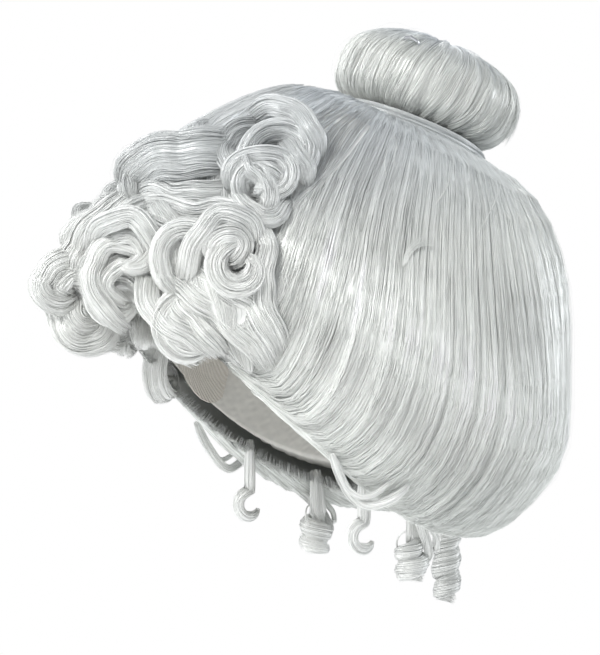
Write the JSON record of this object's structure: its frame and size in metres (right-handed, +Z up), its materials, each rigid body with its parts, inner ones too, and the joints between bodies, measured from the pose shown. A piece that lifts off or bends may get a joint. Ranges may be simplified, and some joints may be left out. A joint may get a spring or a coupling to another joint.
{
  "type": "costume wig",
  "caption": "Swept-up costume wig: hair rolled over pads to a topknot, loose curls over the forehead, ringlets at the nape, and a wefted adjustable cap inside.",
  "frame": {"origin": "the point of the cap's lining that rests on the crown of the head", "axes": "+Z up, -Y towards the face, +X towards the wearer's left"},
  "size_m": [0.2352, 0.2911, 0.3173],
  "materials": {
    "hair": "silver-white synthetic hair fibre, soft sheen",
    "topknot_hair": "silver-white synthetic hair fibre, soft sheen",
    "curl_hair": "white synthetic hair fibre, soft sheen",
    "padding": "crimped crepe-hair padding, matte",
    "cap_fabric": "knitted cap net, matte",
    "weft": "stitched weft tape, matte",
    "elastic": "ribbed elastic tape, matte",
    "tape_patch": "smooth polyurethane film",
    "hook_plastic": "moulded, glossy",
    "pin_metal": "plated wire, glossy"
  },
  "bodies": {
    "wig": {"crown_patch": "cap_fabric", "front_band": "cap_fabric", "side_band_left": "cap_fabric", "side_band_right": "cap_fabric", "nape_band": "cap_fabric", "cap_rib_1": "elastic", "cap_rib_2": "elastic", "cap_rib_3": "elastic", "cap_rib_4": "elastic", "cap_rib_5": "elastic", "weft_row_1": "weft", "weft_row_2": "weft", "weft_row_3": "weft", "weft_row_4": "weft", "front_tape_tab": "tape_patch", "adjuster_loops": "elastic", "pad_front": "padding", "pad_left": "padding", "pad_back": "padding", "pad_right": "padding", "hair_front": "hair", "hair_left": "hair", "hair_back": "hair", "hair_right": "hair", "hair_gather": "hair", "topknot_hair": "topknot_hair", "topknot_core": "padding", "topknot_elastic": "elastic", "front_curl_01": "curl_hair", "front_curl_02": "curl_hair", "front_curl_03": "curl_hair", "front_curl_04": "curl_hair", "front_curl_05": "curl_hair", "front_curl_06": "curl_hair", "front_curl_07": "curl_hair", "front_curl_08": "curl_hair", "front_curl_09": "curl_hair", "front_curl_10": "curl_hair", "front_curl_11": "curl_hair", "front_curl_12": "curl_hair", "front_curl_13": "curl_hair", "front_curl_14": "curl_hair", "front_curl_15": "curl_hair", "front_curl_16": "curl_hair", "front_curl_17": "curl_hair", "front_curl_18": "curl_hair", "front_curl_19": "curl_hair"},
    "ear_tab_left": {"ear_tab_left": "cap_fabric"},
    "ear_tab_right": {"ear_tab_right": "cap_fabric"},
    "adjuster_left": {"adjuster_strap_left": "elastic", "adjuster_hook_left": "hook_plastic"},
    "adjuster_right": {"adjuster_strap_right": "elastic", "adjuster_hook_right": "hook_plastic"},
    "hairpin_1": {"hairpin_1": "pin_metal"},
    "hairpin_2": {"hairpin_2": "pin_metal"},
    "nape_ringlet_back": {"nape_ringlet_back": "curl_hair"},
    "nape_ringlet_left": {"nape_ringlet_left": "curl_hair"},
    "nape_ringlet_right": {"nape_ringlet_right": "curl_hair"},
    "ear_ringlet_left": {"ear_ringlet_left": "curl_hair"},
    "ear_ringlet_right": {"ear_ringlet_right": "curl_hair"}
  },
  "joints": [
    {"name": "ear_tab_left_fold", "type": "hinge", "parent": "wig", "child": "ear_tab_left", "pos_m": [0.0718, -0.0277, -0.0981], "axis": [0.1938, 0.805, -0.5607], "range_deg": [-3, 20], "stiffness_Nm_per_rad": 0.002},
    {"name": "ear_tab_right_fold", "type": "hinge", "parent": "wig", "child": "ear_tab_right", "pos_m": [-0.0718, -0.0277, -0.0981], "axis": [0.1938, -0.805, 0.5607], "range_deg": [-3, 20], "stiffness_Nm_per_rad": 0.002},
    {"name": "adjuster_left_travel", "type": "hinge", "parent": "wig", "child": "adjuster_left", "pos_m": [0, 0.03058, -0.16], "axis": [0, 0, 1], "range_deg": [0, 8]},
    {"name": "adjuster_right_travel", "type": "hinge", "parent": "wig", "child": "adjuster_right", "pos_m": [0, 0.03058, -0.16], "axis": [0, 0, 1], "range_deg": [-8, 0]},
    {"name": "hairpin_1_pull", "type": "slide", "parent": "wig", "child": "hairpin_1", "axis": [-0.8365, -0.0109, 0.5478], "range_m": [0, 0.045]},
    {"name": "hairpin_2_pull", "type": "slide", "parent": "wig", "child": "hairpin_2", "axis": [0.6124, -0.3683, 0.6995], "range_m": [0, 0.045]},
    {"name": "nape_ringlet_back_swing", "type": "hinge", "parent": "wig", "child": "nape_ringlet_back", "pos_m": [-0.006, 0.091, -0.183], "axis": [1, 0, 0], "range_deg": [-15, 12]},
    {"name": "nape_ringlet_left_swing", "type": "hinge", "parent": "wig", "child": "nape_ringlet_left", "pos_m": [0.064, 0.038, -0.175], "axis": [1, 0, 0], "range_deg": [-15, 12]},
    {"name": "nape_ringlet_right_swing", "type": "hinge", "parent": "wig", "child": "nape_ringlet_right", "pos_m": [-0.064, 0.038, -0.175], "axis": [1, 0, 0], "range_deg": [-15, 12]},
    {"name": "ear_ringlet_left_swing", "type": "hinge", "parent": "wig", "child": "ear_ringlet_left", "pos_m": [0.078, 0.004, -0.158], "axis": [1, 0, 0], "range_deg": [-12, 12]},
    {"name": "ear_ringlet_right_swing", "type": "hinge", "parent": "wig", "child": "ear_ringlet_right", "pos_m": [-0.078, 0.004, -0.158], "axis": [1, 0, 0], "range_deg": [-12, 12]}
  ]
}
